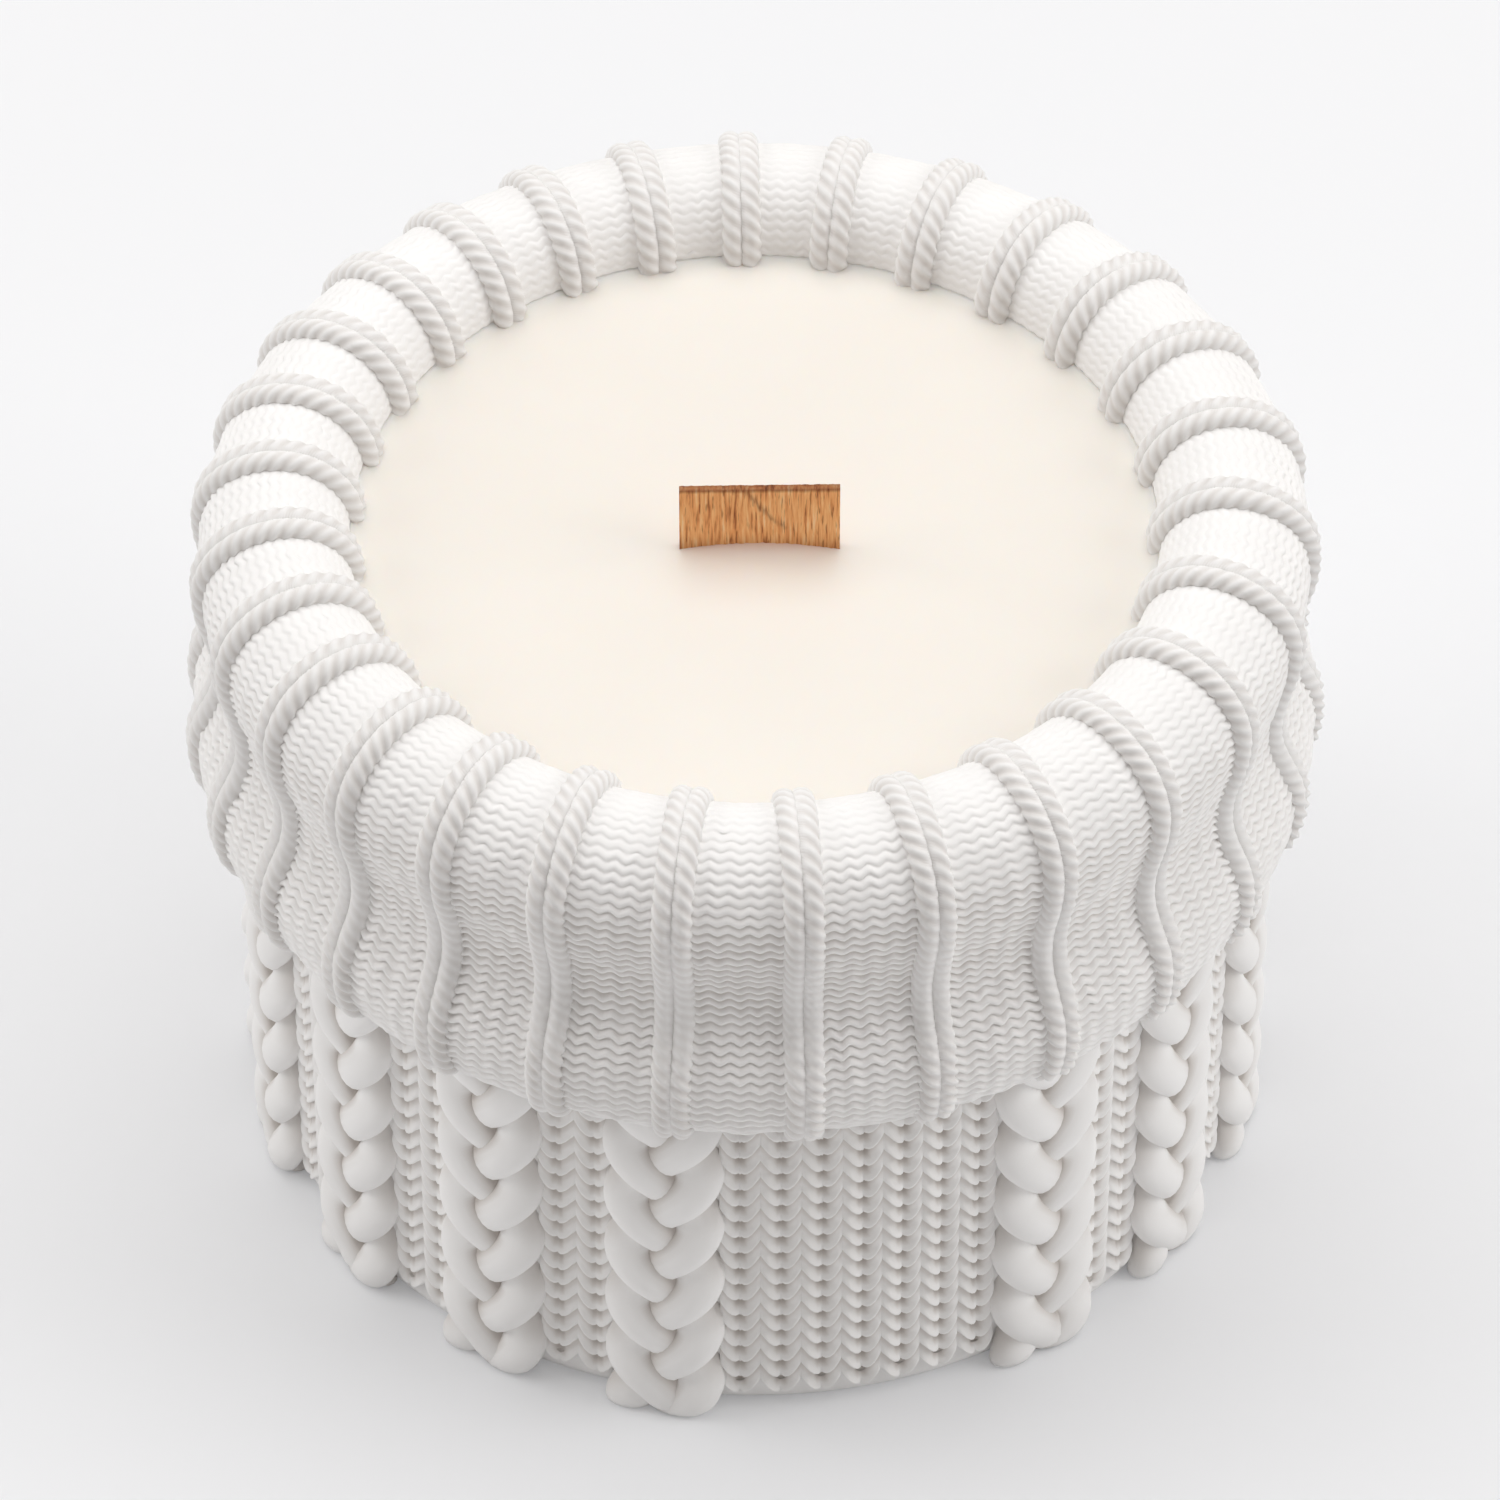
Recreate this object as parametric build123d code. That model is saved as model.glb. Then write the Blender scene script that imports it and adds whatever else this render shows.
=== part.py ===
from build123d import *
import os
from math import degrees, radians, sin

# Cast body
BODY_RADIUS = 50.5
WALL_THICKNESS = 10.1
FLOOR_THICKNESS = 8.0
CAVITY_DRAFT = 1.2
CAVITY_CORNER = 3.0
FOOT_EDGE = 0.8

# Folded cuff, radii outward from the body wall and heights stacked from the hem up
HEM_HEIGHT = 45.8
HEM_TUCK = 1.6
HEM_OVERHANG = 3.9
BULGE_OVERHANG = 6.1
BULGE_ABOVE_HEM = 6.2
WAIST_OVERHANG = 3.2
WAIST_ABOVE_BULGE = 10.4
ROLL_OVERHANG = 4.9
ROLL_ABOVE_WAIST = 10.8
CREST_ABOVE_ROLL = 8.0
CREST_FROM_MOUTH = 6.7
WAX_BELOW_CREST = 7.0

# Raised cords over the cuff, in pairs that stand closer together on one side
PAIR_COUNT = 28
PAIR_SPREAD = 4.5
CORD_RISE = 1.3
FIRST_PAIR_ANGLE = -3.2
PAIR_DRIFT = 5.2
PAIR_DRIFT_HEADING = -16.4

# Plaited cables down the body, with one wide plain panel left at the front
BRAID_COUNT = 16
BRAID_STEP = 21.0
FIRST_BRAID_ANGLE = 304.8
BRAID_WIDTH = 11.5
BRAID_RISE = 3.0
BRAID_END_GAP = 0.4
LOBES_PER_SIDE = 6
LOBE_WIDTH = 5.0
LOBE_CROWN = 1.8
LOBE_DROP = 4.6
LOBE_TIP = 2.0

# Columns of knit stitches between the cables, two ribs to a column
PANEL_COLUMNS = 2
FRONT_COLUMNS = 7
PANEL_SIDE_GAP = 0.1
PANEL_FOOT_STRIP = 2.2
RIB_RISE = 0.9
RIB_CROWN = 0.7
RIB_VALLEY = 0.3

# Wooden wick slat, set a little forward of the middle
WICK_WIDTH = 16.0
WICK_THICKNESS = 0.8
WICK_RISE = 8.2
WICK_FORWARD = 2.0

# Stamped wick clip and its adhesive disc
CLIP_DIAMETER = 20.0
CLIP_SHEET = 0.4
CLIP_TAB_WIDTH = 11.0
CLIP_TAB_HEIGHT = 6.5
STICKER_DIAMETER = 18.0
STICKER_THICKNESS = 0.6

# Levels and radii that follow from the sizes above
MOUTH_RADIUS = BODY_RADIUS - WALL_THICKNESS
HEM_RADIUS = BODY_RADIUS + HEM_OVERHANG
BULGE_RADIUS = BODY_RADIUS + BULGE_OVERHANG
WAIST_RADIUS = BODY_RADIUS + WAIST_OVERHANG
ROLL_RADIUS = BODY_RADIUS + ROLL_OVERHANG
CREST_RADIUS = MOUTH_RADIUS + CREST_FROM_MOUTH
BULGE_LEVEL = HEM_HEIGHT + BULGE_ABOVE_HEM
WAIST_LEVEL = BULGE_LEVEL + WAIST_ABOVE_BULGE
ROLL_LEVEL = WAIST_LEVEL + ROLL_ABOVE_WAIST
CREST_LEVEL = ROLL_LEVEL + CREST_ABOVE_ROLL
WAX_LEVEL = CREST_LEVEL - WAX_BELOW_CREST
TUCK_LEVEL = HEM_HEIGHT + HEM_TUCK
CLIP_LEVEL = FLOOR_THICKNESS + STICKER_THICKNESS
WICK_FOOT = CLIP_LEVEL + CLIP_SHEET
QUARTER = 0.5523
EASE = 0.45
RELIEF_TOP = HEM_HEIGHT - BRAID_END_GAP
FRONT_TURN = 360 - BRAID_STEP * (BRAID_COUNT - 1)


def quarter_turn(upright_end, level_end):
    """A quarter of an ellipse, upright at one end and level at the other."""
    (r0, z0), (r1, z1) = upright_end, level_end
    upright = (r0, 0, z0 + QUARTER * (z1 - z0))
    level = (r1 - QUARTER * (r1 - r0), 0, z1)
    return Bezier((r0, 0, z0), upright, level, (r1, 0, z1))


def eased_step(start, end):
    """An S that leaves and arrives upright."""
    (r0, z0), (r1, z1) = start, end
    reach = EASE * (z1 - z0)
    return Bezier((r0, 0, z0), (r0, 0, z0 + reach), (r1, 0, z1 - reach), (r1, 0, z1))


def cuff_points(rise):
    """The cuff's turning points from the wax line over the crest to the hem."""
    mouth = (MOUTH_RADIUS - rise, WAX_LEVEL)
    crest = (CREST_RADIUS, CREST_LEVEL + rise)
    roll = (ROLL_RADIUS + rise, ROLL_LEVEL)
    waist = (WAIST_RADIUS + rise, WAIST_LEVEL)
    bulge = (BULGE_RADIUS + rise, BULGE_LEVEL)
    hem = (HEM_RADIUS, HEM_HEIGHT - rise)
    return mouth, crest, roll, waist, bulge, hem


def cuff_curve(rise):
    """The cuff's section line, standing out by the rise."""
    mouth, crest, roll, waist, bulge, hem = cuff_points(rise)
    over = [quarter_turn(mouth, crest), quarter_turn(roll, crest)]
    down = [eased_step(roll, waist), eased_step(waist, bulge), quarter_turn(bulge, hem)]
    return over + down


def line(start, end):
    """A straight edge in the section plane."""
    return Line((start[0], 0, start[1]), (end[0], 0, end[1]))


def cavity_edges():
    """The inside wall and floor, from the wax line to the axis."""
    floor_radius = MOUTH_RADIUS - CAVITY_DRAFT
    wall = line((MOUTH_RADIUS, WAX_LEVEL), (floor_radius, FLOOR_THICKNESS + CAVITY_CORNER))
    corner = quarter_turn((floor_radius, FLOOR_THICKNESS + CAVITY_CORNER),
                          (floor_radius - CAVITY_CORNER, FLOOR_THICKNESS))
    floor = line((floor_radius - CAVITY_CORNER, FLOOR_THICKNESS), (0, FLOOR_THICKNESS))
    return [wall, corner, floor]


def turned(edges):
    """A solid of revolution from a closed section."""
    return revolve(make_face(edges), Axis.Z)


def pot():
    """The cast pot with its wall, floor and folded cuff."""
    tuck = line((HEM_RADIUS, HEM_HEIGHT), (BODY_RADIUS, TUCK_LEVEL))
    wall = line((BODY_RADIUS, TUCK_LEVEL), (BODY_RADIUS, FOOT_EDGE))
    edge = line((BODY_RADIUS, FOOT_EDGE), (BODY_RADIUS - FOOT_EDGE, 0))
    rest = line((BODY_RADIUS - FOOT_EDGE, 0), (0, 0))
    axis = line((0, 0), (0, FLOOR_THICKNESS))
    return turned(cuff_curve(0) + [tuck, wall, edge, rest, axis] + cavity_edges())


def cord_pair():
    """One pair of cords as a band lying on the cuff from the wax line to the hem."""
    low, high = cuff_points(0), cuff_points(CORD_RISE)
    ends = [line(low[0], high[0]), line(low[-1], high[-1])]
    band = make_face(cuff_curve(0) + cuff_curve(CORD_RISE) + ends)
    return Rot(Z=-PAIR_SPREAD / 2) * revolve(band, Axis.Z, PAIR_SPREAD)


def pair_angles():
    """Where the pairs stand, closing up on one side."""
    even = [FIRST_PAIR_ANGLE + 360 / PAIR_COUNT * i for i in range(PAIR_COUNT)]
    return [a + PAIR_DRIFT * sin(radians(a - PAIR_DRIFT_HEADING)) for a in even]


def cuff_cords():
    """All the cord pairs."""
    pair = cord_pair()
    return Compound([Rot(Z=a) * pair for a in pair_angles()])


def lobe(side, level):
    """One fat stitch of a plait, falling from the plait's edge past its middle."""
    out = Vector(BODY_RADIUS, side * BRAID_WIDTH / 2, level)
    fall = Vector(0, -out.Y, -LOBE_DROP)
    half = [(-BRAID_RISE, LOBE_WIDTH / 2), (0, LOBE_WIDTH / 2), (BRAID_RISE, LOBE_CROWN / 2)]
    outline = half + [(x, -y) for x, y in reversed(half)]
    bar = extrude(make_face(Polyline(*outline, close=True)), 2 * fall.length, both=True)
    return Plane(origin=out, x_dir=(1, 0, 0), z_dir=fall) * bar


def lobe_room(side, low, high):
    """Half of the plait's width, its outer edge sloped off."""
    edge = side * BRAID_WIDTH / 2
    tip = edge - side * LOBE_TIP
    inner = BODY_RADIUS - 2 * BRAID_RISE
    outer = BODY_RADIUS + 2 * BRAID_RISE
    corners = [(inner, 0), (outer, 0), (BODY_RADIUS + BRAID_RISE, tip), (BODY_RADIUS, edge), (inner, edge)]
    return Pos(0, 0, low) * extrude(make_face(Polyline(*corners, close=True)), high - low, (0, 0, 1))


def braid():
    """One plaited cable standing on the wall, its two rows of stitches meeting in the middle."""
    low, high = BRAID_END_GAP, RELIEF_TOP
    pitch = (high - low) / LOBES_PER_SIDE
    left = [low + pitch * (i + 0.5) for i in range(LOBES_PER_SIDE)]
    right = [low + pitch * (i + 1) for i in range(LOBES_PER_SIDE)]
    stitches = []
    for side, levels in ((-1, left), (1, right)):
        room = lobe_room(side, low, high)
        stitches += [lobe(side, z) & room for z in levels]
    plait = stitches[0] + stitches[1:]
    return plait - Cylinder(BODY_RADIUS, 3 * HEM_HEIGHT)


def cable_braids():
    """All the plaited cables."""
    one = braid()
    turns = [FIRST_BRAID_ANGLE + BRAID_STEP * i for i in range(BRAID_COUNT)]
    return Compound([Rot(Z=a) * s for a in turns for s in one.solids()])


def stitch_panel(turn, columns):
    """Upright ribs standing on the wall in the turn between two cables, two to a column of stitches."""
    width = radians(turn) * BODY_RADIUS - BRAID_WIDTH - 2 * PANEL_SIDE_GAP
    step = width / (2 * columns)
    shoulder = (step - RIB_CROWN) / 2
    inside = -WALL_THICKNESS / 2
    section = [(width / 2, RIB_VALLEY), (width / 2, inside), (-width / 2, inside)]
    for i in range(2 * columns):
        start = i * step - width / 2
        end = start + step
        section += [(start, RIB_VALLEY), (start + shoulder, RIB_RISE), (end - shoulder, RIB_RISE)]
    corners = [Vector(BODY_RADIUS + z, 0).rotate(Axis.Z, degrees(y / BODY_RADIUS)) for y, z in section]
    ribs = extrude(make_face(Polyline(*corners, close=True)), RELIEF_TOP - PANEL_FOOT_STRIP)
    return Pos(0, 0, PANEL_FOOT_STRIP) * ribs - Cylinder(BODY_RADIUS, 3 * HEM_HEIGHT)


def stitch_panels():
    """The wide panel at the front and the narrow ones on round the pot."""
    front = Rot(Z=FIRST_BRAID_ANGLE - FRONT_TURN / 2) * stitch_panel(FRONT_TURN, FRONT_COLUMNS)
    narrow = stitch_panel(BRAID_STEP, PANEL_COLUMNS)
    turns = [FIRST_BRAID_ANGLE + BRAID_STEP * (i + 0.5) for i in range(BRAID_COUNT - 1)]
    return Compound(front.solids() + [Rot(Z=a) * s for a in turns for s in narrow.solids()])


def wooden_wick():
    """The flat slat, from the clip up past the wax."""
    height = WAX_LEVEL + WICK_RISE - WICK_FOOT
    return Pos(0, -WICK_FORWARD, WICK_FOOT) * Box(
        WICK_WIDTH, WICK_THICKNESS, height, align=(Align.CENTER, Align.CENTER, Align.MIN))


def wick_clip():
    """A round base with two upright tabs that grip the slat."""
    base = Cylinder(CLIP_DIAMETER / 2, CLIP_SHEET, align=(Align.CENTER, Align.CENTER, Align.MIN))
    tab = Box(CLIP_TAB_WIDTH, CLIP_SHEET, CLIP_SHEET + CLIP_TAB_HEIGHT,
              align=(Align.CENTER, Align.MIN, Align.MIN))
    tabs = Pos(0, WICK_THICKNESS / 2, 0) * tab + Pos(0, -WICK_THICKNESS / 2 - CLIP_SHEET, 0) * tab
    return Pos(0, -WICK_FORWARD, CLIP_LEVEL) * (base + tabs)


def wick_sticker():
    """The adhesive disc that holds the clip to the floor."""
    return Pos(0, -WICK_FORWARD, FLOOR_THICKNESS) * Cylinder(
        STICKER_DIAMETER / 2, STICKER_THICKNESS, align=(Align.CENTER, Align.CENTER, Align.MIN))


def wax_fill(inside):
    """The poured wax, taking the shape of the cavity round the wick."""
    top = line((0, WAX_LEVEL), (MOUTH_RADIUS, WAX_LEVEL))
    axis = line((0, FLOOR_THICKNESS), (0, WAX_LEVEL))
    wax = turned([top, axis] + cavity_edges())
    for piece in inside:
        wax -= piece
    return wax


body = pot()
wick = wooden_wick()
clip = wick_clip()
sticker = wick_sticker()
pieces = {
    "pot": body,
    "cuff_cords": cuff_cords(),
    "cable_braids": cable_braids(),
    "stitch_panels": stitch_panels(),
    "wax_fill": wax_fill([wick, clip, sticker]),
    "wooden_wick": wick,
    "wick_clip": clip,
    "wick_sticker": sticker,
}
os.makedirs("parts", exist_ok=True)
for name, shape in pieces.items():
    export_step(shape, f"parts/{name}.step")
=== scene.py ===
import math
from bisect import bisect_right

import bmesh
import bpy
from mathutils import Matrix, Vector, noise
from mathutils.geometry import interpolate_bezier


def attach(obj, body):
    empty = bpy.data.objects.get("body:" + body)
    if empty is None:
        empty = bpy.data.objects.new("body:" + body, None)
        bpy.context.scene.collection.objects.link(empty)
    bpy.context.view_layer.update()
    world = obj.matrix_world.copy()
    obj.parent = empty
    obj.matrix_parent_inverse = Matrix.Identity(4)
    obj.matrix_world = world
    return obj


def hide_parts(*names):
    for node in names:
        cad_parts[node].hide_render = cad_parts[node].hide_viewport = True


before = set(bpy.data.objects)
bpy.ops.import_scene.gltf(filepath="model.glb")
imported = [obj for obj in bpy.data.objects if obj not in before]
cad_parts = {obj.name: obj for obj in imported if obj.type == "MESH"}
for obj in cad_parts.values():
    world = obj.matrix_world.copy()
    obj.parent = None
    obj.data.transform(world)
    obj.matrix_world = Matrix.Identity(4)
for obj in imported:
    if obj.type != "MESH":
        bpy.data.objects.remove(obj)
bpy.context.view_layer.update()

# Sizes in millimetres, angles in degrees, front of the pot at 270
MM = 0.001
WALL_RADIUS = 50.5
MOUTH = (40.4, 74.2)
CREST = (47.1, 81.2)
ROLL = (55.4, 73.2)
WAIST = (53.7, 62.4)
BULGE = (56.6, 52.0)
HEM = (54.4, 45.8)
TUCK = (50.5, 47.4)
WAX_COVER = 3.0
PAIR_COUNT = 28
FIRST_PAIR = -3.2
PAIR_DRIFT = 5.2
DRIFT_HEADING = -16.4
CORD_RADIUS = 1.2
CORD_LIFT = 0.12
CORD_APART = 0.86
CORD_TWIST = 4.3
KNIT_PITCH = 1.08
KNIT_RELIEF = 0.42
KNIT_WAVE = 2.05
KNIT_SWING = 0.21
PLAIT_COUNT = 16
PLAIT_STEP = 21.0
FIRST_PLAIT = 304.8
PLAIT_REPEAT = 23.2
PLAIT_SWING = 3.4
STRAND_HALF_WIDTH = 2.5
SIDE_STRAND_HALF_WIDTH = 2.38
STRAND_HALF_THICKNESS = 1.75
STITCH_WIDTH = 4.1
STITCH_PITCH = 2.35
STITCH_RELIEF = 0.9
WAX_LEVEL = 74.2
WICK_HALF_WIDTH = 8.0
WICK_HALF_THICKNESS = 0.4
WICK_FOOT = 9.0
WICK_TOP = 82.4
WICK_PLACE = (0.5, -2.0)


# The cuff's section: up the inside from below the wax, over the rim and down to the tucked hem
def bend(start, end, leave, arrive, reach):
    first = Vector((*start, 0.0))
    last = Vector((*end, 0.0))
    way = {"upright": Vector((0.0, last.y - first.y, 0.0)), "level": Vector((last.x - first.x, 0.0, 0.0))}
    return interpolate_bezier(first, first + way[leave] * reach, last - way[arrive] * reach, last, 48)


def straight(start, end, count):
    first = Vector((*start, 0.0))
    last = Vector((*end, 0.0))
    return [first.lerp(last, k / count) for k in range(count + 1)]


ROUND = 0.5523
SWEEP = 0.45
section_runs = (
    straight((MOUTH[0], MOUTH[1] - WAX_COVER), MOUTH, 12),
    bend(MOUTH, CREST, "upright", "level", ROUND),
    bend(CREST, ROLL, "level", "upright", ROUND),
    bend(ROLL, WAIST, "upright", "upright", SWEEP),
    bend(WAIST, BULGE, "upright", "upright", SWEEP),
    bend(BULGE, HEM, "upright", "level", ROUND),
    straight(HEM, TUCK, 16),
)
section_line = [section_runs[0][0]]
section_length = [0.0]
section_marks = []
for run in section_runs:
    for spot in run[1:]:
        section_length.append(section_length[-1] + (spot - section_line[-1]).length)
        section_line.append(spot)
    section_marks.append(section_length[-1])
AT_CREST, AT_ROLL, AT_WAIST, AT_BULGE, AT_HEM, AT_TUCK = section_marks[1:]


def on_line(s):
    s = min(max(s, 0.0), AT_TUCK)
    k = min(bisect_right(section_length, s), len(section_line) - 1)
    share = (s - section_length[k - 1]) / (section_length[k] - section_length[k - 1])
    return section_line[k - 1].lerp(section_line[k], share)


def cuff_spot(s, out):
    """Radius and height on the cuff, and the way out of its surface."""
    way = on_line(s + 0.25) - on_line(s - 0.25)
    outward = Vector((-way.y, way.x, 0.0)).normalized()
    return on_line(s) + outward * out, outward


def turned(angle, radius, height, aside=0.0):
    """A point in the frame, in metres, from its angle, radius and height, moved aside along the wall."""
    c = math.cos(angle)
    s = math.sin(angle)
    return Vector((c * radius - s * aside, s * radius + c * aside, height)) * MM


def ease(low, high, value):
    t = min(max((value - low) / (high - low), 0.0), 1.0)
    return t * t * (3.0 - 2.0 * t)


def pair_angle(k):
    even = FIRST_PAIR + 360.0 / PAIR_COUNT * k
    return math.radians(even + PAIR_DRIFT * math.sin(math.radians(even - DRIFT_HEADING)))


# Making the meshes
def new_mesh():
    bm = bmesh.new()
    # This per-vertex layer holds painted shade on the plaster, a painted wick reflection on the wax and the
    # wick's own marks.
    return bm, bm.verts.layers.float.new("painted_light_and_marks")


def strip(bm, painted_light_and_marks, across, along, place):
    """A grid rolled into a tube: its last column lands on its first."""
    grid = bmesh.ops.create_grid(bm, x_segments=across, y_segments=along, size=1.0)
    for v in grid["verts"]:
        i = round((v.co.x + 1.0) * across / 2.0) % across
        j = round((v.co.y + 1.0) * along / 2.0)
        v.co, v[painted_light_and_marks] = place(i, j)


def close(bm):
    bmesh.ops.remove_doubles(bm, verts=bm.verts, dist=1e-7)
    open_edges = [e for e in bm.edges if e.is_boundary]
    bmesh.ops.holes_fill(bm, edges=open_edges, sides=0)
    bmesh.ops.recalc_face_normals(bm, faces=bm.faces)


def piece(bm, name, material, slot, *nodes):
    for face in bm.faces:
        face.smooth = True
    mesh = bpy.data.meshes.new(name)
    bm.to_mesh(mesh)
    bm.free()
    mesh.materials.append(material)
    made = bpy.data.objects.new(name, mesh)
    bpy.context.scene.collection.objects.link(made)
    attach(made, "root")
    if nodes:
        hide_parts(*nodes)


def spun(bm, corners, steps):
    """A closed turned shape from a section that starts and ends on the axis."""
    ends = [bm.verts.new((r * MM, 0.0, z * MM)) for r, z in corners]
    edges = [bm.edges.new(two) for two in zip(ends, ends[1:])]
    bmesh.ops.spin(bm, geom=ends + edges, axis=(0, 0, 1), cent=(0, 0, 0), angle=math.tau,
                   steps=steps, use_merge=True)
    bmesh.ops.remove_doubles(bm, verts=bm.verts, dist=1e-7)
    bmesh.ops.recalc_face_normals(bm, faces=bm.faces)


# Materials
def links_of(name):
    material = bpy.data.materials.new(name)
    material.use_nodes = True
    nodes = material.node_tree.nodes
    nodes.clear()
    out = nodes.new("ShaderNodeOutputMaterial")
    shader = nodes.new("ShaderNodeBsdfPrincipled")
    material.node_tree.links.new(shader.outputs["BSDF"], out.inputs["Surface"])
    place = nodes.new("ShaderNodeTexCoord")
    return material, nodes, material.node_tree.links, shader, place.outputs["Object"]


def noise_node(nodes, links, vector, scale, detail, rough):
    made = nodes.new("ShaderNodeTexNoise")
    made.inputs["Scale"].default_value = scale
    made.inputs["Detail"].default_value = detail
    made.inputs["Roughness"].default_value = rough
    links.new(vector, made.inputs["Vector"])
    return made.outputs["Fac"]


def ramp_node(nodes, links, fac, stops):
    made = nodes.new("ShaderNodeValToRGB")
    bar = made.color_ramp
    while len(bar.elements) < len(stops):
        bar.elements.new(0.5)
    for element, (at, colour) in zip(bar.elements, stops):
        element.position = at
        element.color = (*colour, 1.0)
    links.new(fac, made.inputs["Fac"])
    return made.outputs["Color"]


def range_node(nodes, links, value, low, high):
    made = nodes.new("ShaderNodeMapRange")
    made.inputs["To Min"].default_value = low
    made.inputs["To Max"].default_value = high
    links.new(value, made.inputs["Value"])
    return made.outputs["Result"]


def stretch_node(nodes, links, vector, scale):
    made = nodes.new("ShaderNodeMapping")
    made.inputs["Scale"].default_value = scale
    links.new(vector, made.inputs["Vector"])
    return made.outputs["Vector"]


def painted_light_and_marks_node(nodes):
    made = nodes.new("ShaderNodeAttribute")
    made.attribute_name = "painted_light_and_marks"
    return made.outputs["Fac"]


def multiply_node(nodes, links, share, first, second):
    made = nodes.new("ShaderNodeMix")
    made.data_type = "RGBA"
    made.blend_type = "MULTIPLY"
    made.inputs["Factor"].default_value = share
    links.new(first, made.inputs["A"])
    links.new(second, made.inputs["B"])
    return made.outputs["Result"]


def bump_node(nodes, links, height, strength, distance):
    made = nodes.new("ShaderNodeBump")
    made.inputs["Strength"].default_value = strength
    made.inputs["Distance"].default_value = distance
    links.new(height, made.inputs["Height"])
    return made.outputs["Normal"]


def cast_plaster():
    material, nodes, links, shader, spot = links_of("cast_plaster")
    cloud = noise_node(nodes, links, spot, 55.0, 3.0, 0.5)
    white = ramp_node(nodes, links, cloud, ((0.3, (0.905, 0.897, 0.888)), (0.7, (0.93, 0.923, 0.915))))
    # Painted shade: the per-vertex value darkens the plaster towards warm brown in creases, grooves, pits
    # and under overlaps.
    painted_light = ramp_node(nodes, links, painted_light_and_marks_node(nodes),
                      ((0.0, (1.0, 1.0, 1.0)), (0.45, (0.77, 0.74, 0.715)), (1.0, (0.3, 0.245, 0.21))))
    links.new(multiply_node(nodes, links, 1.0, white, painted_light), shader.inputs["Base Color"])
    grain = noise_node(nodes, links, spot, 1500.0, 4.0, 0.6)
    links.new(range_node(nodes, links, grain, 0.68, 0.86), shader.inputs["Roughness"])
    links.new(bump_node(nodes, links, grain, 0.25, 0.00006), shader.inputs["Normal"])
    shader.inputs["Specular IOR Level"].default_value = 0.28
    return material


def poured_wax():
    material, nodes, links, shader, spot = links_of("poured_wax")
    cloud = noise_node(nodes, links, spot, 38.0, 3.0, 0.55)
    cream = ramp_node(nodes, links, cloud, ((0.3, (0.838, 0.796, 0.733)), (0.7, (0.852, 0.812, 0.752))))
    # Painted reflection: a warm tint of the wick's colour on the wax next to the wick.
    painted_light = ramp_node(nodes, links, painted_light_and_marks_node(nodes), ((0.0, (1.0, 1.0, 1.0)), (1.0, (0.84, 0.6, 0.5))))
    links.new(multiply_node(nodes, links, 1.0, cream, painted_light), shader.inputs["Base Color"])
    ripple = noise_node(nodes, links, spot, 140.0, 2.0, 0.4)
    links.new(range_node(nodes, links, ripple, 0.3, 0.4), shader.inputs["Roughness"])
    links.new(bump_node(nodes, links, ripple, 0.05, 0.0002), shader.inputs["Normal"])
    shader.inputs["Subsurface Weight"].default_value = 0.35
    shader.inputs["Subsurface Radius"].default_value = (1.0, 0.7, 0.45)
    shader.inputs["Subsurface Scale"].default_value = 0.0025
    shader.inputs["Specular IOR Level"].default_value = 0.4
    return material


def wick_wood():
    material, nodes, links, shader, spot = links_of("wick_wood")
    along = stretch_node(nodes, links, spot, (3000.0, 900.0, 210.0))
    fibre = noise_node(nodes, links, along, 1.0, 3.0, 0.6)
    tan = ramp_node(nodes, links, fibre, ((0.3, (0.4, 0.13, 0.038)), (0.45, (0.85, 0.37, 0.13)),
                                          (0.58, (0.97, 0.53, 0.22)), (0.72, (0.98, 0.68, 0.39))))
    short = stretch_node(nodes, links, spot, (4200.0, 900.0, 420.0))
    streak = noise_node(nodes, links, short, 1.0, 2.0, 0.5)
    dark = ramp_node(nodes, links, streak, ((0.3, (0.34, 0.2, 0.12)), (0.42, (1.0, 1.0, 1.0))))
    streaked = multiply_node(nodes, links, 0.75, tan, dark)
    singe = ramp_node(nodes, links, painted_light_and_marks_node(nodes), ((0.0, (1.0, 1.0, 1.0)), (1.0, (0.42, 0.34, 0.32))))
    links.new(multiply_node(nodes, links, 1.0, streaked, singe), shader.inputs["Base Color"])
    links.new(range_node(nodes, links, fibre, 0.55, 0.8), shader.inputs["Roughness"])
    links.new(bump_node(nodes, links, fibre, 0.5, 0.00012), shader.inputs["Normal"])
    shader.inputs["Specular IOR Level"].default_value = 0.3
    return material


def clip_steel():
    material, nodes, links, shader, spot = links_of("clip_steel")
    along = stretch_node(nodes, links, spot, (300.0, 4000.0, 4000.0))
    brushed = noise_node(nodes, links, along, 1.0, 3.0, 0.6)
    grey = ramp_node(nodes, links, brushed, ((0.3, (0.5, 0.5, 0.5)), (0.7, (0.66, 0.65, 0.64))))
    links.new(grey, shader.inputs["Base Color"])
    links.new(range_node(nodes, links, brushed, 0.25, 0.42), shader.inputs["Roughness"])
    links.new(bump_node(nodes, links, brushed, 0.15, 0.00004), shader.inputs["Normal"])
    shader.inputs["Metallic"].default_value = 1.0
    return material


def sticker_foam():
    material, nodes, links, shader, spot = links_of("sticker_foam")
    cells = nodes.new("ShaderNodeTexVoronoi")
    cells.inputs["Scale"].default_value = 2600.0
    links.new(spot, cells.inputs["Vector"])
    foam = cells.outputs["Distance"]
    pale = ramp_node(nodes, links, foam, ((0.1, (0.74, 0.73, 0.7)), (0.6, (0.84, 0.83, 0.8))))
    links.new(pale, shader.inputs["Base Color"])
    links.new(range_node(nodes, links, foam, 0.75, 0.92), shader.inputs["Roughness"])
    links.new(bump_node(nodes, links, foam, 0.4, 0.0001), shader.inputs["Normal"])
    return material


plaster = cast_plaster()
wax = poured_wax()
wood = wick_wood()

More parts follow.
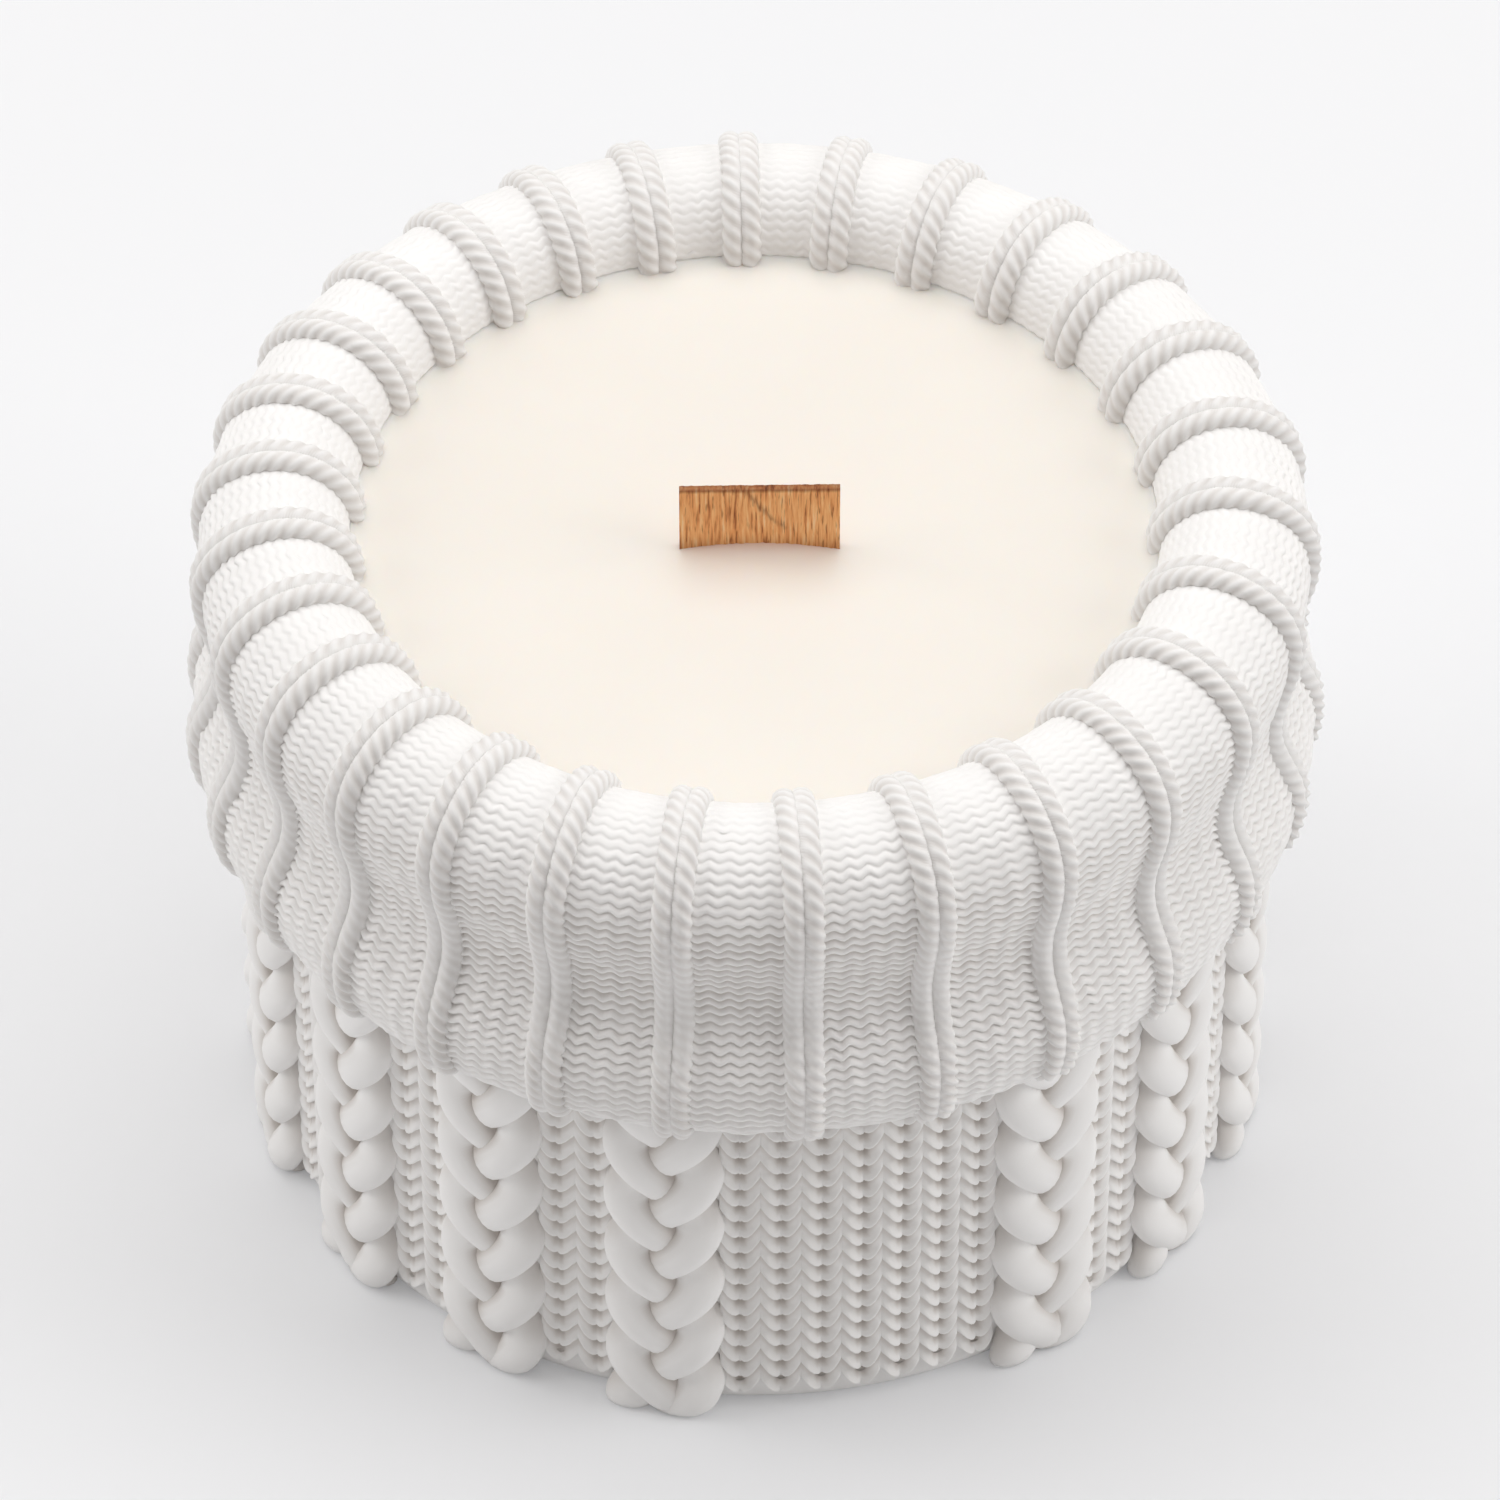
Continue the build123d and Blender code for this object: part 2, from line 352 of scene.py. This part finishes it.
# The pot: one turned wall, foot, cavity and cuff core, just under the knit
CORE_INSET = 0.45
CORE_STEPS = 100
POT_FACETS = 224
wall_corners = [(0.0, 0.0), (48.6, 0.0), (49.5, 0.12), (50.1, 0.55), (50.3, 1.2), (50.3, 12.0),
                (50.3, 24.0), (50.3, 36.0), (50.3, 47.0)]
cuff_corners = []
for k in range(CORE_STEPS + 1):
    spot, outward = cuff_spot(AT_TUCK - (AT_TUCK - 0.4) * k / CORE_STEPS, -CORE_INSET)
    cuff_corners.append((spot.x, spot.y))
cavity_corners = [(40.85, 60.0), (40.7, 40.0), (40.4, 20.0), (40.0, 11.0), (39.2, 8.9), (37.4, 8.0),
                  (0.0, 8.0)]
bm, painted_light_and_marks = new_mesh()
spun(bm, wall_corners + cuff_corners[2:] + cavity_corners, POT_FACETS)
piece(bm, "pot_body", plaster, "cast_plaster", "pot")

# The cuff's knit: wavy rows between one pair of cords and the next
KNIT_LEVELS = ((0.0, 0.06), (0.16, 0.42), (0.36, 0.82), (0.56, 1.0), (0.75, 0.84), (0.9, 0.4))
KNIT_ACROSS = 40
KNIT_START = 1.0
KNIT_BED = -0.16
KNIT_BACK = -1.1
KNIT_ROWS = int((AT_HEM + 1.4 - KNIT_START) / KNIT_PITCH)


def knit_panel(bm, painted_light_and_marks, left, right, number):
    waves = (right - left) * BULGE[0] / KNIT_WAVE

    def place(i, j):
        row, level = divmod(j, len(KNIT_LEVELS))
        phase, rise = KNIT_LEVELS[level]
        s = KNIT_START + (row + phase) * KNIT_PITCH
        if i > KNIT_ACROSS:
            spot, outward = cuff_spot(s, KNIT_BACK)
            return turned(right if i == KNIT_ACROSS + 1 else left, spot.x, spot.y), 0.0
        share = i / KNIT_ACROSS
        wander = noise.noise(Vector((share * 3.0 + number * 7.0, row * 0.21, 1.7)))
        wobble = noise.noise(Vector((share * 7.0 + number * 11.0, row * 0.9, 5.3)))
        turn = share * waves + 0.16 * wander + number * 0.37
        arch = 0.85 * math.cos(math.tau * turn)
        below = ease(AT_CREST, AT_WAIST - 4.0, s)
        shaded = ease(AT_ROLL - 5.0, AT_ROLL + 2.0, s) * ease(AT_WAIST + 4.0, AT_WAIST - 2.0, s)
        s -= KNIT_SWING * (1.0 + 0.35 * below + 0.5 * wobble) * arch + 0.16 * wander
        relief = KNIT_RELIEF * (0.26 + 0.92 * below) * (1.0 + 0.5 * wobble)
        spot, outward = cuff_spot(s, KNIT_BED + relief * rise)
        # Painted shade: the low parts of each row are darkened, more from the crest down and most between
        # the roll and the waist.
        shade = (0.04 + 0.22 * below + 0.4 * shaded) * (1.0 - rise) ** 1.3
        return turned(left + (right - left) * share, spot.x, spot.y), shade

    strip(bm, painted_light_and_marks, KNIT_ACROSS + 3, KNIT_ROWS * len(KNIT_LEVELS), place)


UNDER_CORD = math.radians(1.0)
PANEL_GAP = math.radians(0.3)
PAIRS_IN_QUARTER = PAIR_COUNT // 4
for quarter in range(4):
    bm, painted_light_and_marks = new_mesh()
    for k in range(quarter * PAIRS_IN_QUARTER, (quarter + 1) * PAIRS_IN_QUARTER):
        left = pair_angle(k) + UNDER_CORD
        right = pair_angle(k + 1) + UNDER_CORD - PANEL_GAP
        knit_panel(bm, painted_light_and_marks, left, right, k)
    close(bm)
    piece(bm, f"cuff_knit_{quarter + 1}", plaster, "cast_plaster")

# The cords: three plies twisted, two cords to a pair, ending in a rounded tip under the hem
CORD_AROUND = 18
CORD_ALONG = 244
CORD_TIP = 10
PLY_STEPS = CORD_AROUND // 3
CORD_END = AT_HEM + 2.6


def cord(bm, painted_light_and_marks, angle, aside, number):
    def place(i, j):
        body = CORD_ALONG - CORD_TIP
        if j <= body:
            s = (CORD_END - CORD_RADIUS) * j / body
            full = 1.0
        else:
            lean = 0.5 * math.pi * (j - body) / CORD_TIP
            s = CORD_END - CORD_RADIUS + CORD_RADIUS * math.sin(lean)
            full = math.cos(lean) if j < CORD_ALONG else 0.0
        spot, outward = cuff_spot(s, CORD_LIFT)
        slack = noise.noise(Vector((s * 0.12, number * 3.1, 8.8)))
        turn = math.tau * (i / CORD_AROUND + s / CORD_TWIST + number * 0.29 + 0.1 * slack)
        soft = 1.0 - 0.5 * ease(AT_ROLL - 2.0, AT_WAIST, s) * (1.0 - ease(AT_WAIST + 4.0, AT_BULGE, s))
        meet = -math.copysign(1.0, aside) * math.sin(turn)
        ply = abs(math.cos(math.pi * (i % PLY_STEPS) / PLY_STEPS)) ** 2.0
        valley = soft * ply * (1.0 - ease(0.3, 0.8, meet))
        cut = 0.18 + 0.16 * ease(AT_WAIST, AT_BULGE, s)
        radius = CORD_RADIUS * full * (1.0 - cut * valley + 0.03 * slack)
        up = radius * math.cos(turn)
        side = radius * math.sin(turn)
        # Painted shade: darker in the ply grooves and on the side where the two cords of a pair press
        # together.
        shade = 0.34 * valley + 0.25 * ease(0.6, 1.0, meet) * full
        return turned(angle, spot.x + outward.x * up, spot.y + outward.y * up, aside + side), shade

    strip(bm, painted_light_and_marks, CORD_AROUND, CORD_ALONG, place)


for quarter in range(4):
    bm, painted_light_and_marks = new_mesh()
    for k in range(quarter * PAIRS_IN_QUARTER, (quarter + 1) * PAIRS_IN_QUARTER):
        cord(bm, painted_light_and_marks, pair_angle(k), -CORD_APART, 2 * k)
        cord(bm, painted_light_and_marks, pair_angle(k), CORD_APART, 2 * k + 1)
    close(bm)
    piece(bm, f"cuff_cords_{quarter + 1}", plaster, "cast_plaster", "cuff_cords")

# The plaits: three flat strands that cross over as they go in and under as they go out
STRAND_AROUND = 18
STRAND_ALONG = 96
PLAIT_TOP = 47.6
PLAIT_RADIUS = 50.7
PLAIT_DEPTH = 1.1
PLAIT_PHASE = 0.35
STRAND_LEAN = 0.45
OVER_START = -0.08
OVER_SHARE = 0.68
PLAIT_CUT = 0.25
PLAIT_BELOW = 1.4
PLAITS_IN_HALF = PLAIT_COUNT // 2


def strand(bm, painted_light_and_marks, angle, third, half_width):
    def path(drop):
        turn = math.tau * (drop / PLAIT_REPEAT + third / 3.0) + PLAIT_PHASE
        aside = PLAIT_SWING * (math.sin(turn) - 0.06 * math.sin(3.0 * turn))
        way = (turn / math.pi + 0.5 - OVER_START) % 1.0
        if way < OVER_SHARE:
            deep = PLAIT_DEPTH * math.sin(math.pi * way / OVER_SHARE)
        else:
            deep = -0.5 * PLAIT_DEPTH * math.sin(math.pi * (way - OVER_SHARE) / (1.0 - OVER_SHARE))
        full = 0.75 * ease(5.0, 1.5, PLAIT_TOP - drop)
        return aside, deep + full * (PLAIT_DEPTH - deep)

    def place(i, j):
        drop = (PLAIT_TOP + PLAIT_BELOW) * j / STRAND_ALONG
        aside, deep = path(drop)
        ahead = path(drop + 0.1)[0] - path(drop - 0.1)[0]
        length = math.hypot(ahead, 0.2)
        across = Vector((0.2 / length, ahead / length))
        turn = math.tau * i / STRAND_AROUND
        wide = half_width * math.cos(turn)
        thick = STRAND_HALF_THICKNESS * math.sin(turn)
        upper = across.y * math.cos(turn)
        arc = aside + across.x * wide
        height = PLAIT_TOP - drop + across.y * wide
        radius = PLAIT_RADIUS + deep + thick - STRAND_LEAN * upper - 0.35 * ease(1.3, 0.0, height)
        # Painted shade: each strand darkens under the lobe above it, more near the middle of the plait, and
        # where it dives under at the crossing.
        middle = 1.0 - ease(0.2, 0.7, abs(arc) / PLAIT_SWING)
        tucked = (0.45 + 0.55 * middle) * ease(-0.1, 0.5, upper) * ease(53.6, 52.0, radius)
        shade = 0.85 * max(tucked, middle * ease(0.2, -0.3, deep / PLAIT_DEPTH))
        return turned(angle + arc / PLAIT_RADIUS, radius, height), shade

    strip(bm, painted_light_and_marks, STRAND_AROUND, STRAND_ALONG, place)


for half in range(2):
    bm, painted_light_and_marks = new_mesh()
    for k in range(half * PLAITS_IN_HALF, (half + 1) * PLAITS_IN_HALF):
        half_width = STRAND_HALF_WIDTH if k in (0, PLAIT_COUNT - 1) else SIDE_STRAND_HALF_WIDTH
        for third in range(3):
            strand(bm, painted_light_and_marks, math.radians(FIRST_PLAIT + PLAIT_STEP * k), third, half_width)
    close(bm)
    everything = list(bm.verts) + list(bm.edges) + list(bm.faces)
    bmesh.ops.bisect_plane(bm, geom=everything, plane_co=(0, 0, PLAIT_CUT * MM), plane_no=(0, 0, -1),
                           clear_outer=True)
    close(bm)
    piece(bm, f"cable_plaits_{half + 1}", plaster, "cast_plaster", "cable_braids")

# The stitch panels: rows of V stitches, each row lapping over the one below it
STITCH_LEVELS = ((0.0, 0.22), (0.1, 0.27), (0.3, 0.36), (0.5, 0.46), (0.7, 0.64), (0.84, 0.95),
                 (0.92, 1.0), (0.975, 0.8))
STITCH_SPREAD = (-1.0, -0.94, -0.8, -0.6, -0.38, -0.2, -0.08, 0.0, 0.08, 0.2, 0.38, 0.6, 0.8, 0.94)
STITCH_ROWS = 20
STITCH_TOP = 49.0
STITCH_CLIMB = 2.1
PANEL_BACK = 49.4
FRONT_COLUMNS = 7
FRONT_TURN = 22.5
FRONT_PITS = 0.95
NARROW_COLUMNS = 2
NARROW_RELIEF = 0.7 * STITCH_RELIEF
NARROW_PITS = 0.75


def stitch_panel(bm, painted_light_and_marks, middle, columns, number, relief, pitted):
    across = columns * len(STITCH_SPREAD)

    def place(i, j):
        row, level = divmod(j, len(STITCH_LEVELS))
        phase, rise = STITCH_LEVELS[level]
        if i > across:
            arc = STITCH_WIDTH * columns / 2.0 * (1.0 if i == across + 1 else -1.0)
            height = STITCH_TOP - (row + phase) * STITCH_PITCH + STITCH_CLIMB
            return turned(middle + arc / WALL_RADIUS, PANEL_BACK, height), 0.0
        column, step = divmod(i, len(STITCH_SPREAD))
        x = STITCH_SPREAD[step]
        arc = (column + 0.5 + 0.5 * x - columns / 2.0) * STITCH_WIDTH
        out = abs(x)
        wobble = noise.noise(Vector((arc * 0.16 + number * 9.0, row * 0.7, 2.9)))
        curve = 1.35 + 0.5 * ease(0.0, 9.0, row)
        edge = ease(0.8, 1.0, out)
        climb = STITCH_CLIMB * (out - 0.08 * edge) ** curve + 0.16 * math.exp(-((x / 0.12) ** 2))
        height = STITCH_TOP - (row + phase) * STITCH_PITCH + climb + 0.12 * wobble
        puff = 0.42 - 0.1 * edge + 0.58 * math.sin(math.pi * min(out, 1.0)) ** 0.7
        pit = pitted * ease(0.44, 0.14, out) * ease(0.72, 0.36, phase)
        lift = relief * (rise * puff - 0.45 * pit)
        # Painted shade: the pit of each V is darkened as well as sunk, and each row darkens under the rim
        # of the row above.
        under = 0.04 + 0.42 * ease(0.66, 0.12, phase)
        shade = 0.8 * pit + under * ease(0.88, 0.7, phase) * (1.0 - pit)
        return turned(middle + arc / WALL_RADIUS, WALL_RADIUS + lift, height), shade

    strip(bm, painted_light_and_marks, across + 3, STITCH_ROWS * len(STITCH_LEVELS), place)


bm, painted_light_and_marks = new_mesh()
front = math.radians(FIRST_PLAIT - FRONT_TURN)
stitch_panel(bm, painted_light_and_marks, front, FRONT_COLUMNS, 0, STITCH_RELIEF, FRONT_PITS)
close(bm)
piece(bm, "stitch_panel_front", plaster, "cast_plaster", "stitch_panels")
bm, painted_light_and_marks = new_mesh()
for k in range(PLAIT_COUNT - 1):
    middle = math.radians(FIRST_PLAIT + PLAIT_STEP * (k + 0.5))
    stitch_panel(bm, painted_light_and_marks, middle, NARROW_COLUMNS, k + 1, NARROW_RELIEF, NARROW_PITS)
close(bm)
piece(bm, "stitch_panels_round", plaster, "cast_plaster", "stitch_panels")

# The wax: poured level, drawn up a little at the wall and against the wick
WAX_FACETS = 160
WAX_RISE = 1.0
wax_corners = [(0.0, WAX_LEVEL)]
wax_corners += [(0.5 * k, WAX_LEVEL) for k in range(1, 25)]
wax_corners += [(12.0 + 1.35 * k, WAX_LEVEL) for k in range(1, 20)]
wax_corners += [(39.0, 74.22), (39.5, 74.27), (39.9, 74.36), (40.2, 74.5), (40.6, 74.7)]
wax_corners += [(40.7, 72.0), (40.5, 40.0), (40.2, 20.0), (39.6, 11.0), (38.8, 9.2), (37.2, 8.2)]
wax_corners += [(0.0, 8.2)]
bm, painted_light_and_marks = new_mesh()
spun(bm, wax_corners, WAX_FACETS)
for v in bm.verts:
    if v.co.z > (WAX_LEVEL - 0.2) * MM:
        across = abs(v.co.x / MM - WICK_PLACE[0]) / (WICK_HALF_WIDTH + 0.2)
        away = max(abs(v.co.y / MM - WICK_PLACE[1]) - WICK_HALF_THICKNESS, 0.0)
        if across < 1.0:
            v.co.z += WAX_RISE * MM * (1.0 - across * across) * math.exp(-away / 0.9)
            # Painted reflection of the wick: the tint is strongest on the wax right in front of and behind
            # the wick.
            v[painted_light_and_marks] = (1.0 - across ** 4) * math.exp(-away / 0.8)
piece(bm, "wax_fill_poured", wax, "wax", "wax_fill")

# The wick: a flat slat with open fibres and a rough-cut top
FIBRE_COLUMNS = 120
FIBRE_ROWS = 24
SHOWN_FROM = 73.0
bm, painted_light_and_marks = new_mesh()
bmesh.ops.create_cube(bm, size=1.0)
for v in bm.verts:
    v.co.x = (WICK_PLACE[0] + 2.0 * WICK_HALF_WIDTH * v.co.x) * MM
    v.co.y = (WICK_PLACE[1] + 2.0 * WICK_HALF_THICKNESS * v.co.y) * MM
    v.co.z = (WICK_TOP if v.co.z > 0 else WICK_FOOT) * MM
everything = list(bm.verts) + list(bm.edges) + list(bm.faces)
bmesh.ops.bisect_plane(bm, geom=everything, plane_co=(0, 0, SHOWN_FROM * MM), plane_no=(0, 0, 1))
level_edges = [e for e in bm.edges if abs(e.verts[0].co.x - e.verts[1].co.x) > 10.0 * MM]
bmesh.ops.subdivide_edges(bm, edges=level_edges, cuts=FIBRE_COLUMNS - 1, use_grid_fill=True)
upright_edges = [e for e in bm.edges if min(v.co.z for v in e.verts) > (SHOWN_FROM - 1.0) * MM
                 and abs(e.verts[0].co.z - e.verts[1].co.z) > 5.0 * MM]
bmesh.ops.subdivide_edges(bm, edges=upright_edges, cuts=FIBRE_ROWS - 1, use_grid_fill=True)
for v in bm.verts:
    x = v.co.x / MM
    z = v.co.z / MM
    side = 1.0 if v.co.y / MM > WICK_PLACE[1] else -1.0
    fibre = noise.noise(Vector((x * 3.4, side * 4.0, z * 0.22)))
    ridge = noise.noise(Vector((x * 1.1, side * 9.0, z * 0.1)))
    v.co.y += side * MM * (0.05 * fibre + 0.05 * ridge)
    top = ease(WICK_TOP - 1.6, WICK_TOP, z)
    torn = noise.noise(Vector((x * 2.6, side * 1.4, 3.3)))
    v.co.z += MM * top * (0.018 * (x - WICK_PLACE[0]) + 0.06 * torn)
    fall = WICK_TOP - 0.4 - z
    slant = (x - WICK_PLACE[0] + 1.15 - 0.5 * fall - 0.06 * fall * fall + 0.5 * fibre) / 0.34
    figure = math.exp(-slant * slant) * ease(5.6, 3.6, fall) * (0.75 + 0.5 * torn)
    soaked = 0.45 * ease(WAX_LEVEL + 2.6, WAX_LEVEL + 0.2, z)
    v[painted_light_and_marks] = max(ease(WICK_TOP - 0.25, WICK_TOP, z), soaked, min(max(figure, 0.0), 0.85))
bmesh.ops.recalc_face_normals(bm, faces=bm.faces)
piece(bm, "wick_slat", wood, "wick_wood", "wooden_wick")

# The hidden clip and sticker keep their solids and get their finish
for node, finish in (("wick_clip", clip_steel()), ("wick_sticker", sticker_foam())):
    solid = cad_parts[node]
    solid.data.materials.clear()
    solid.data.materials.append(finish)

# Floor, lamps and camera
FLOOR_HALF_SIDE = 4.0
FLOOR_DROP = 0.0001
FLOOR_GLOW = 0.19
AIM = (0.0, 0.0, 0.05)
bm = bmesh.new()
bmesh.ops.create_grid(bm, x_segments=1, y_segments=1, size=FLOOR_HALF_SIDE)
bmesh.ops.translate(bm, verts=bm.verts, vec=(0, 0, -FLOOR_DROP))
floor_mesh = bpy.data.meshes.new("studio_floor")
bm.to_mesh(floor_mesh)
bm.free()
floor = bpy.data.objects.new("studio_floor", floor_mesh)
bpy.context.scene.collection.objects.link(floor)
paper, nodes, links, shader, spot = links_of("studio_paper")
cloud = noise_node(nodes, links, spot, 3.0, 2.0, 0.5)
links.new(ramp_node(nodes, links, cloud, ((0.3, (0.85, 0.857, 0.872)), (0.7, (0.86, 0.867, 0.882)))),
          shader.inputs["Base Color"])
shader.inputs["Roughness"].default_value = 0.9
shader.inputs["Specular IOR Level"].default_value = 0.1
path = nodes.new("ShaderNodeLightPath")
seen = nodes.new("ShaderNodeMath")
seen.operation = "MAXIMUM"
links.new(path.outputs["Is Camera Ray"], seen.inputs[0])
links.new(path.outputs["Is Glossy Ray"], seen.inputs[1])
share = nodes.new("ShaderNodeMath")
share.operation = "MULTIPLY"
share.inputs[1].default_value = FLOOR_GLOW
links.new(seen.outputs["Value"], share.inputs[0])
glow = nodes.new("ShaderNodeEmission")
glow.inputs["Color"].default_value = (0.885, 0.89, 0.905, 1.0)
blend = nodes.new("ShaderNodeMixShader")
links.new(share.outputs["Value"], blend.inputs["Fac"])
links.new(shader.outputs["BSDF"], blend.inputs[1])
links.new(glow.outputs["Emission"], blend.inputs[2])
links.new(blend.outputs["Shader"], nodes["Material Output"].inputs["Surface"])
floor_mesh.materials.append(paper)


def lamp(name, place, size, power):
    data = bpy.data.lights.new(name, "AREA")
    data.shape = "DISK"
    data.size = size
    data.energy = power
    made = bpy.data.objects.new(name, data)
    made.location = place
    made.rotation_euler = (Vector(AIM) - Vector(place)).to_track_quat("-Z", "Y").to_euler()
    bpy.context.scene.collection.objects.link(made)


lamp("overhead_softbox", (0.0, 0.36, 1.28), 1.5, 10.1)
lamp("left_softbox", (-1.2, 0.1, 0.75), 0.9, 5.7)
lamp("right_softbox", (1.2, -0.1, 0.75), 0.9, 6.7)
world = bpy.data.worlds.new("studio")
bpy.context.scene.world = world
world.use_nodes = True
sky = world.node_tree.nodes["Background"]
sky.inputs["Color"].default_value = (1.0, 0.955, 0.92, 1.0)
sky.inputs["Strength"].default_value = 0.36

camera_data = bpy.data.cameras.new("camera")
camera_data.lens = 234.7
camera_data.sensor_width = 36.0
camera_data.shift_x = -0.00307
camera = bpy.data.objects.new("camera", camera_data)
camera.location = (0.0, -0.7009, 0.7565)
view = Vector((0.0, 0.0, 0.04323)) - camera.location
camera.rotation_euler = view.to_track_quat("-Z", "Y").to_euler()
bpy.context.scene.collection.objects.link(camera)
bpy.context.scene.camera = camera
bpy.context.scene.view_settings.view_transform = "Standard"
